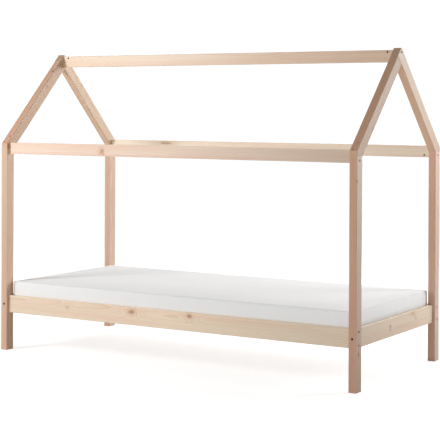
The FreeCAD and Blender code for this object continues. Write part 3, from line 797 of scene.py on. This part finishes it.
@dataclass
class SoftBlock:
    """A soft rounded block with a crowned top.

    Attributes:
        low: Its lowest corner.
        high: Its highest corner, at the top of the crown.
        corner: The radius of its upright corners.
        edge: The radius of its level edges.
        cell: How far apart its points lie.
        crown: How far the middle of the top stands over its edge.
        reach: How far in from the edge the crown is full.
        corner_faces: How many faces go round an upright corner.
        edge_faces: How many go round a level edge.
    """

    low: Vector
    high: Vector
    corner: float
    edge: float
    cell: float
    crown: float
    reach: float
    corner_faces: int = 6
    edge_faces: int = 4

    @property
    def top(self) -> float:
        """The height of the top's edge, under the crown."""
        return self.high.z - self.crown

    def on_top(self, place: Vector) -> bool:
        """Whether a place is on the crowned top, and not on a side."""
        return place.z > self.top - self.edge / 2

    def inward(self, place: Vector) -> float:
        """How far in from the nearest side a place lies, seen from above."""
        return min(place.x - self.low.x, self.high.x - place.x, place.y - self.low.y, self.high.y - place.y)

    def crown_at(self, place: Vector) -> float:
        """The height of the crown over the edge at a place."""
        share = min(max((self.inward(place) - self.edge) / (self.reach - self.edge), 0.0), 1.0)
        return self.crown * (1 - (1 - share) ** 2)

    def round_off(self, mesh: bmesh.types.BMesh, edges: list[bmesh.types.BMEdge], radius: float,
                  faces: int) -> None:
        """Rounds edges with so many faces."""
        bmesh.ops.bevel(mesh, geom=edges, offset=radius, offset_type="OFFSET", segments=faces, profile=0.5,
                        affect="EDGES", material=-1)

    def build(self, name: str) -> Piece:
        """Makes the block with a flat top, cut into a grid.

        Args:
            name: The new piece's name.

        Returns:
            The piece, its top as high as its edge.
        """
        edge_top = self.high - Vector((0, 0, self.crown))
        size = edge_top - self.low
        middle = (edge_top + self.low) / 2
        mesh = bmesh.new()
        place = Matrix.Translation(middle) @ Matrix.Diagonal((*size, 1.0))
        bmesh.ops.create_cube(mesh, size=1.0, matrix=place)
        upright = [e for e in mesh.edges if abs(e.verts[0].co.z - e.verts[1].co.z) > size.z / 2]
        self.round_off(mesh, upright, self.corner, self.corner_faces)
        square = math.radians(60)
        level = [e for e in mesh.edges if len(e.link_faces) == 2 and e.calc_face_angle() > square]
        self.round_off(mesh, level, self.edge, self.edge_faces)
        for axis in range(3):
            normal = Vector([1.0 if n == axis else 0.0 for n in range(3)])
            inset = self.edge if axis == 2 else self.corner
            length = size[axis] - 2 * inset
            count = max(round(length / self.cell), 1)
            for number in range(count + 1):
                point = self.low + normal * (inset + length * number / count)
                bmesh.ops.bisect_plane(mesh, geom=[*mesh.verts, *mesh.edges, *mesh.faces], plane_co=point,
                                       plane_no=normal, dist=TINY)
        bmesh.ops.remove_doubles(mesh, verts=mesh.verts, dist=TINY)
        bmesh.ops.recalc_face_normals(mesh, faces=mesh.faces)
        piece = mesh_piece(name, mesh)
        for face in piece.data.polygons:
            face.use_smooth = True
        return piece


@dataclass
class Mattress:
    """The mattress: a foam core in a plain cover, firm, with soft edges and a little fullness.

    Attributes:
        crown: How far the middle of the top stands over the edge.
        reach: How far in from the edge the crown is full.
        corner: The radius of the upright corners.
        edge: The radius of the level edges.
        cell: How far apart the cover's points lie before its subdivision.
        swell: How far the cover's sides may move when its filling presses on it.
        pucker: How deep the gathers under the top seam are.
        side_pucker: The share of that depth along the long sides.
        pucker_fall: How far below the seam they have mostly gone.
        pucker_count: How many of them there are to the metre, about.
        seam: How deep the seam's groove is.
        seam_width: Half the groove's width.
        unevenness: How far the cloth rises and dips besides.
        cover_gap: How far inside the cover's skin the core's skin lies.
        pressure: The pressure of the filling.
        stiffness: How little the cloth stretches.
        steps: How many steps the cloth takes to settle.
        quality: How many parts each step is worked out in.
        least_crown: The share of the crown that needs no pressure.
        proud: How far the gathers may stand out.
        clear: How far inside the CAD's space the cover starts, in millimetres.
        core_cell: How far apart the core's points lie.
        core_drop: How much lower the core's top starts.
    """

    crown: float = 4 * MM
    reach: float = 300 * MM
    corner: float = 22 * MM
    edge: float = 11 * MM
    cell: float = 15 * MM
    swell: float = 2 * MM
    pucker: float = 1.6 * MM
    side_pucker: float = 0.35
    pucker_fall: float = 28 * MM
    pucker_count: float = 34.0
    seam: float = 0.25 * MM
    seam_width: float = 2.5 * MM
    unevenness: float = 0.5 * MM
    cover_gap: float = 2.3 * MM
    pressure: float = 4.0
    stiffness: float = 40.0
    steps: int = 20
    quality: int = 6
    least_crown: float = 0.8
    proud: float = 0.6 * MM
    clear: Point = (0.4, 0.4, 0.2)
    core_cell: float = 60 * MM
    core_drop: float = 0.4 * MM
    low: Vector = field(init=False)
    high: Vector = field(init=False)

    def __post_init__(self) -> None:
        """Takes the space that CAD gives the mattress."""
        self.low, self.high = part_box("mattress_cover")

    def fill(self, cover: Piece, block: SoftBlock) -> None:
        """Fills the cover: cloth under pressure, pinned at its seams and below, held to a small swell.

        Args:
            cover: The flat cover.
            block: Its measures.
        """
        rest = [v.co.copy() for v in cover.data.vertices]
        pins = cover.vertex_groups.new(name="seams")
        seams = [n for n, co in enumerate(rest)
                 if co.z < block.low.z + block.edge or abs(co.z - (block.top - block.edge)) < 10 * TINY]
        pins.add(seams, 1.0, "REPLACE")
        pressed = self.press(cover, pins.name)
        largest = 0.0
        for vertex, start, end in zip(cover.data.vertices, rest, pressed):
            on_top = block.on_top(start)
            limit = block.crown_at(start) if on_top else self.swell
            move = end - start
            if on_top:
                risen = min(max(move.z, 0.0) / max(limit, TINY * MM), 1.0)
                move = Vector((0, 0, limit * (self.least_crown + (1 - self.least_crown) * risen)))
            elif move.length > limit:
                move = move.normalized() * limit
            largest = max(largest, move.length)
            vertex.co = start + move
        cover.vertex_groups.clear()
        log.info("cover filled, the largest move %.1f mm", largest / MM)

    def press(self, cover: Piece, pins: str) -> list[Vector]:
        """Lets the cover settle as cloth under the pressure of its filling.

        Args:
            cover: The flat cover.
            pins: The group of its points that stay.

        Returns:
            Where its points come to.
        """
        cloth = cover.modifiers.new("filling", "CLOTH")
        cloth.settings.use_pressure = True
        cloth.settings.uniform_pressure_force = self.pressure
        cloth.settings.effector_weights.gravity = 0.0
        cloth.settings.vertex_group_mass = pins
        cloth.settings.tension_stiffness = self.stiffness
        cloth.settings.compression_stiffness = self.stiffness
        cloth.settings.quality = self.quality
        for frame in range(1, self.steps + 1):
            bpy.context.scene.frame_set(frame)
        swollen = cover.evaluated_get(bpy.context.evaluated_depsgraph_get())
        pressed = [v.co.copy() for v in swollen.data.vertices]
        cover.modifiers.remove(cloth)
        bpy.context.scene.frame_set(1)
        return pressed

    def sew(self, cover: Piece, block: SoftBlock) -> None:
        """Adds the seam under the top edge and the small gathers that run down from it.

        Args:
            cover: The filled cover.
            block: Its measures.
        """
        seam = block.top - block.edge
        cover.data.update()
        normals = [v.normal.copy() for v in cover.data.vertices]
        for vertex, normal in zip(cover.data.vertices, normals):
            co = vertex.co
            side = max(0.0, 1.0 - abs(normal.z) * 1.4)
            drop = seam - co.z
            groove = math.exp(-(drop / self.seam_width) ** 2)
            fade = math.exp(-max(drop, 0.0) / self.pucker_fall) if drop > -block.edge * 0.6 else 0.0
            at_end = abs(normal.x) > abs(normal.y)
            along = (co.y if at_end else co.x) * self.pucker_count
            wave = noise.noise(Vector((along, 3.7 if normal.x + normal.y > 0 else 9.1, co.z * 3)))
            slow = self.unevenness * noise.noise(Vector((co.x * 3.1, co.y * 3.1, co.z * 5 + 2.0)))
            gathers = self.pucker * (1.0 if at_end else self.side_pucker) * fade * (wave - 0.25)
            depth = gathers + slow - self.seam * groove
            if side > 0.0:
                vertex.co = co + normal * (side * min(depth, self.proud))
            elif normal.z > 0.5:
                vertex.co = co + Vector((0, 0, slow))

    def make(self) -> list[Piece]:
        """Makes the cover and the core.

        Returns:
            Both pieces.
        """
        clear = Vector(self.clear) * MM
        block = SoftBlock(self.low + clear, self.high - clear, self.corner, self.edge, self.cell,
                          self.crown, self.reach)
        cover = block.build("mattress_cover_sewn")
        self.fill(cover, block)
        smooth = cover.modifiers.new("smooth", "SUBSURF")
        smooth.levels = smooth.render_levels = 1
        graph = bpy.context.evaluated_depsgraph_get()
        finer = bpy.data.meshes.new_from_object(cover.evaluated_get(graph))
        cover.modifiers.remove(smooth)
        cover.data = finer
        self.sew(cover, block)
        put_material(cover, COVER_CLOTH.material())
        gap = Vector((1, 1, 1)) * self.cover_gap
        inner = SoftBlock(self.low + gap, self.high - gap - Vector((0, 0, self.core_drop)),
                          self.corner - self.cover_gap, self.edge - self.cover_gap, self.core_cell,
                          self.crown, self.reach)
        core = inner.build("mattress_core_foam")
        for vertex in core.data.vertices:
            if inner.on_top(vertex.co):
                vertex.co.z += inner.crown_at(vertex.co) * self.least_crown
        put_material(core, FOAM.material())
        for piece, node, slot, fill in ((cover, "mattress_cover", "cover_fabric", 0.85),
                                        (core, "mattress_core", "foam", 1.0)):
            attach(piece, "mattress")
            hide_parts(node)
            log.info("%s: %d faces", piece.name, len(piece.data.polygons))
        return [cover, core]


# ------------------------ studio
@dataclass(frozen=True)
class SoftLight:
    """A square soft box.

    Attributes:
        name: What it is called.
        place: Where it hangs.
        target: The point that it faces.
        size: The length of its sides.
        power: Its power in watts.
        colour: Its colour.
    """

    name: str
    place: Point
    target: Point
    size: float
    power: float
    colour: Colour = (1.0, 1.0, 1.0)

    def make(self) -> Piece:
        """Makes the light; returns its object."""
        data = bpy.data.lights.new(self.name, "AREA")
        data.shape = "SQUARE"
        data.size = self.size
        data.energy = self.power
        data.color = self.colour
        light = new_piece(self.name, data)
        light.location = self.place
        light.visible_camera = False
        aim = Vector(self.target) - Vector(self.place)
        light.rotation_euler = aim.to_track_quat("-Z", "Y").to_euler()
        return light


KEY = SoftLight("key_light", (-2.2, -2.8, 2.1), (0, 0, 0.8), 0.9, 67.0)
FRONT = SoftLight("front_light", (1.9, -4.9, 1.5), (0, 0, 0.8), 3.0, 60.0)
FILL = SoftLight("fill_light", (3.6, 2.4, 1.8), (0, 0, 0.9), 1.2, 68.0)
LOW = SoftLight("low_light", (3.4, 3.7, 0.8), (0, 0, 0.7), 1.4, 24.0)
BACK = SoftLight("back_light", (0.6, 4.0, 2.5), (0.2, 0, 0.8), 3.0, 176.0)


@dataclass
class Studio:
    """A pale floor, soft light all round and five soft boxes.

    Attributes:
        lights: The soft boxes.
        ambient: The strength of the light from all round.
        paint: How pale the floor is to the camera, before its glow.
        bounce: How much of the light that falls on the floor comes back to the object.
        near_glow: How much the floor adds, round the object, to what the camera sees of it.
        far_glow: How much it adds away from the object.
        glow_change: How far from the middle the first begins to give way, and where the second is reached.
        sky: How bright the world is to the camera and in gloss.
        floor_size: The length of the floor's sides.
        floor_gap: How far it lies under the feet.
    """

    lights: tuple[SoftLight, ...] = (KEY, FRONT, FILL, LOW, BACK)
    ambient: float = 0.12
    paint: float = 0.45
    bounce: float = 0.8
    near_glow: float = 0.78
    far_glow: float = 0.98
    glow_change: Span = (1.3, 4.0)
    sky: float = 1.05
    floor_size: float = 60.0
    floor_gap: float = 0.2 * MM

    def make_floor(self) -> Piece:
        """Makes the floor.

        Returns:
            A pale plane that the camera sees as white, apart from the object's shadow.
        """
        mesh = bmesh.new()
        bmesh.ops.create_grid(mesh, x_segments=1, y_segments=1, size=self.floor_size / 2)
        floor = mesh_piece("studio_floor", mesh)
        floor.location.z = -self.floor_gap
        material = bpy.data.materials.new("studio_floor")
        material.use_nodes = True
        bench = NodeBench(material.node_tree)
        bench.tree.nodes.clear()
        camera_ray = bench.add("LightPath").outputs["Is Camera Ray"]
        paint = bench.mix(camera_ray, (*[self.bounce] * 3, 1.0), (*[self.paint] * 3, 1.0))
        diffuse = bench.add("BsdfDiffuse", {"Color": paint}).outputs[0]
        place = bench.add("TexCoord").outputs["Object"]
        away = bench.rise(bench.length(place), *self.glow_change)
        strength = bench.math("MULTIPLY_ADD", away, self.far_glow - self.near_glow, self.near_glow)
        strength = bench.math("MULTIPLY", camera_ray, strength)
        glow = bench.add("Emission", {"Strength": strength}).outputs[0]
        both = bench.add("AddShader", {0: diffuse, 1: glow}).outputs[0]
        bench.add("OutputMaterial", {"Surface": both})
        put_material(floor, material)
        return floor

    def make_world(self) -> None:
        """Makes the even light from all round, white to the camera and to anything glossy or clear."""
        world = bpy.data.worlds.new("studio")
        world.use_nodes = True
        bpy.context.scene.world = world
        bench = NodeBench(world.node_tree)
        bench.tree.nodes.clear()
        path = bench.add("LightPath").outputs
        seen = bench.math("MAXIMUM", path["Is Camera Ray"], path["Is Transmission Ray"])
        seen = bench.math("MAXIMUM", seen, path["Is Glossy Ray"])
        strength = bench.math("MULTIPLY_ADD", seen, self.sky - self.ambient, self.ambient)
        background = bench.add("Background", {"Color": (1.0, 1.0, 1.0, 1.0), "Strength": strength})
        bench.add("OutputWorld", {"Surface": background.outputs[0]})

    def make(self) -> None:
        """Makes the floor, the world and the lights."""
        self.make_floor()
        [light.make() for light in self.lights]
        self.make_world()
        log.info("studio: %d soft boxes", len(self.lights))


@dataclass
class Viewpoint:
    """The photograph's camera, as worked out from the bed's own lines.

    Attributes:
        place: Where the camera stands.
        heading: The turn of its view from +Y towards +X, in degrees.
        pitch: How far it looks up, in degrees.
        roll: How far it leans to the left, in degrees.
        focal: Its focal length in widths of the picture.
        centre: Where its axis meets the picture, from the left and from the top, in widths.
    """

    place: Point = (3.6622, -5.9972, 1.2771)
    heading: float = -31.354
    pitch: float = -0.306
    roll: float = 0.272
    focal: float = 1347.1 / PICTURE
    centre: Span = (218.4 / PICTURE, 117.1 / PICTURE)

    def make(self) -> Piece:
        """Makes the camera.

        Returns:
            The camera, as the scene's own.
        """
        yaw, tilt, lean = (math.radians(angle) for angle in (self.heading, self.pitch, self.roll))
        right = Vector((math.cos(yaw), -math.sin(yaw), 0.0))
        forward = Vector((math.sin(yaw) * math.cos(tilt), math.cos(yaw) * math.cos(tilt), math.sin(tilt)))
        upward = right.cross(forward)
        across = right * math.cos(lean) + upward * math.sin(lean)
        above = upward * math.cos(lean) - right * math.sin(lean)
        data = bpy.data.cameras.new("camera")
        data.sensor_width = 36.0
        data.lens = self.focal * data.sensor_width
        data.shift_x = 0.5 - self.centre[0]
        data.shift_y = self.centre[1] - 0.5
        data.clip_end = 200.0
        camera = new_piece("camera", data)
        camera.matrix_world = Matrix((
            (across.x, above.x, -forward.x, self.place[0]),
            (across.y, above.y, -forward.y, self.place[1]),
            (across.z, above.z, -forward.z, self.place[2]),
            (0.0, 0.0, 0.0, 1.0)))
        bpy.context.scene.camera = camera
        return camera


# ------------------------ the bed
def knot(x: float, y: float, z: float, radius: float = 5.0, stretch: float = 1.4,
         darkness: float = 0.8) -> Knot:
    """A knot from millimetres."""
    return Knot((x * MM, y * MM, z * MM), radius * MM, stretch, darkness)


@dataclass
class Bed:
    """The whole bed.

    Attributes:
        nodes: The CAD nodes by name.
    """

    nodes: dict[str, Piece]

    def timbers(self) -> list[Timber]:
        """Lists the timbers.

        Returns:
            Each timber with its wood and knots.
        """
        # Fitted colour: each along ramp is painted light, brighter or darker along the timber as the light
        # falls; each face tint is painted shade on the sloping faces, the faces turned right and the
        # undersides; each whole tint is partly the board's own colour, partly painted shade.
        painted_roof_shade, painted_warm_roof_shade = (0.97, 0.85, 0.83), (0.87, 0.74, 0.66)
        found = [
            Timber("post_left_front", Grain.UPRIGHT, POST_PINE,
                   tone_and_painted_light=ToneAndPaintedLight((0.92, 0.92, 0.93), (1.14, 1.0, 0.97), ((Facing.RIGHT, (0.9, 0.94, 0.95)),))),
            Timber("post_left_back", Grain.UPRIGHT, POST_PINE,
                   tone_and_painted_light=ToneAndPaintedLight((1.02, 1.0, 1.01), faces=((Facing.RIGHT, (0.79, 0.84, 0.9)),))),
            Timber("post_right_front", Grain.UPRIGHT, POST_PINE,
                   (knot(1040, -467.8, 171.7, 4.5, 2.2), knot(1040, -485.8, 956.9, 3.5, 1.3)),
                   ToneAndPaintedLight((0.82, 0.75, 0.73), (0.97, 1.0, 0.97), ((Facing.RIGHT, (0.84, 0.88, 0.92)),))),
            Timber("post_right_back", Grain.UPRIGHT, POST_PINE, (knot(1040, 464.9, 781, 4.0, 1.5, 0.6),),
                   ToneAndPaintedLight((0.88, 0.82, 0.81), (0.87, 0.95, 1.1), ((Facing.RIGHT, (0.9, 1.02, 1.1)),))),
            Timber("rafter_left_front", Grain.FRONT_SLOPE, RAFTER_PINE,
                   (knot(-1001, -155.2, 1399.8, 4.5), knot(-1010.1, -97.7, 1487.3, 4.5)),
                   ToneAndPaintedLight((0.92, 0.95, 1.0), faces=((Facing.FRONT_ROOF, painted_roof_shade),
                                                  (Facing.RIGHT, (0.72, 0.66, 0.61))))),
            Timber("rafter_left_back", Grain.BACK_SLOPE, RAFTER_PINE,
                   tone_and_painted_light=ToneAndPaintedLight((1.04, 1.1, 1.16), faces=((Facing.RIGHT, (0.75, 0.75, 0.745)),))),
            Timber("rafter_right_front", Grain.FRONT_SLOPE, RAFTER_PINE,
                   (knot(1040, -325.6, 1193.9, 5.0), knot(1010, -81.6, 1503.4, 2.0, 1.0, 1.0)),
                   ToneAndPaintedLight((0.85, 0.87, 0.91), (1.05, 1.0, 0.92),
                        ((Facing.FRONT_ROOF, painted_warm_roof_shade), (Facing.RIGHT, (0.62, 0.56, 0.50))))),
            Timber("rafter_right_back", Grain.BACK_SLOPE, RAFTER_PINE,
                   tone_and_painted_light=ToneAndPaintedLight((0.95, 0.97, 0.99), faces=((Facing.RIGHT, (0.74, 0.77, 0.83)),
                                                        (Facing.UNDER_ROOF, (0.97, 0.91, 0.90))))),
            Timber("ridge_beam", Grain.ALONG_BED, TOP_PINE,
                   tone_and_painted_light=ToneAndPaintedLight((0.94, 0.97, 0.99), (1.06, 0.94, 0.85))),
            Timber("eaves_rail_front", Grain.ALONG_BED, TOP_PINE,
                   (knot(-397, -471.5, 1064, 13.0, 0.9, 0.5), knot(-390, -471.5, 1068, 6.0, 0.5, 0.7),
                    knot(-388, -471.5, 1050, 5.5, 0.6, 0.65), knot(-408, -471.5, 1056, 4.0, 0.8, 0.5)),
                   ToneAndPaintedLight((0.98, 1.01, 1.10), (1.02, 1.0, 0.77))),
            Timber("eaves_rail_back", Grain.ALONG_BED, TOP_PINE,
                   (knot(-620, 453.5, 1085, 7.0, 6.0, 0.55),),
                   ToneAndPaintedLight((1.06, 1.2, 1.3), (1.08, 1.0, 0.88))),
            Timber("side_rail_front", Grain.ALONG_BED, RAIL_PINE,
                   (knot(-207, -471.5, 265, 11.0, 1.5, 0.6), knot(135, -471.5, 271.5, 10.0, 1.4, 0.55),
                    knot(-612, -471.5, 255, 7.0, 1.4, 0.3), knot(-225, -471.5, 262, 4.0, 1.6, 0.55)),
                   ToneAndPaintedLight(along=(0.97, 1.06, 0.83))),
            Timber("side_rail_back", Grain.ALONG_BED, RAIL_PINE),
            Timber("end_rail_left", Grain.ACROSS_BED, RAIL_PINE),
            Timber("end_rail_right", Grain.ACROSS_BED, RAIL_PINE,
                   (knot(1028, -90.2, 248.7, 5.0), knot(1028, -90, 232, 3.0, 1.2, 0.9),
                    knot(1028, 178, 277, 7.0, 3.0, 0.35), knot(1028, 205, 262, 5.0, 1.2, 0.4),
                    knot(1028, 218, 247, 6.0, 1.0, 0.35)),
                   ToneAndPaintedLight((0.75, 0.73, 0.70), (0.95, 1.0, 1.03))),
            *[Timber(f"slat_ledge_{side}", Grain.ALONG_BED, SLAT_PINE) for side in ("front", "back")],
            Timber("end_rail_dowels", Grain.ACROSS_BED, BEECH, hidden_knots=0),
            *[Timber(f"{rail}_dowels", Grain.ALONG_BED, BEECH, hidden_knots=0)
              for rail in ("eaves_rail", "ridge")],
        ]
        slats = sorted(name for name in self.nodes if name.removeprefix("slat_").isdigit())
        return found + [Timber(name, Grain.FLAT_ACROSS, SLAT_PINE, hidden_knots=1) for name in slats]

    def make(self) -> None:
        """Dresses the timbers and the steel, and makes the mattress."""
        dressed = set()
        for timber in self.timbers():
            timber.dress(self.nodes[timber.node])
            dressed.add(timber.node)
        steel = STEEL.material()
        for name, node in self.nodes.items():
            if name.endswith(("_bolts", "_nuts", "_screws")):
                put_material(node, steel)
                dressed.add(name)
                log.info("%s: steel", name)
        Mattress().make()
        bare = set(self.nodes) - dressed - {"mattress_cover", "mattress_core"}
        log.info("nodes left bare: %s", sorted(bare))


def main() -> None:
    """Builds the scene."""
    logging.basicConfig(level=logging.INFO, format="%(message)s")
    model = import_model()
    Bed(model["nodes"]).make()
    Studio().make()
    Viewpoint().make()
    bpy.context.scene.view_settings.view_transform = "Standard"


if __name__ == "__main__":
    main()
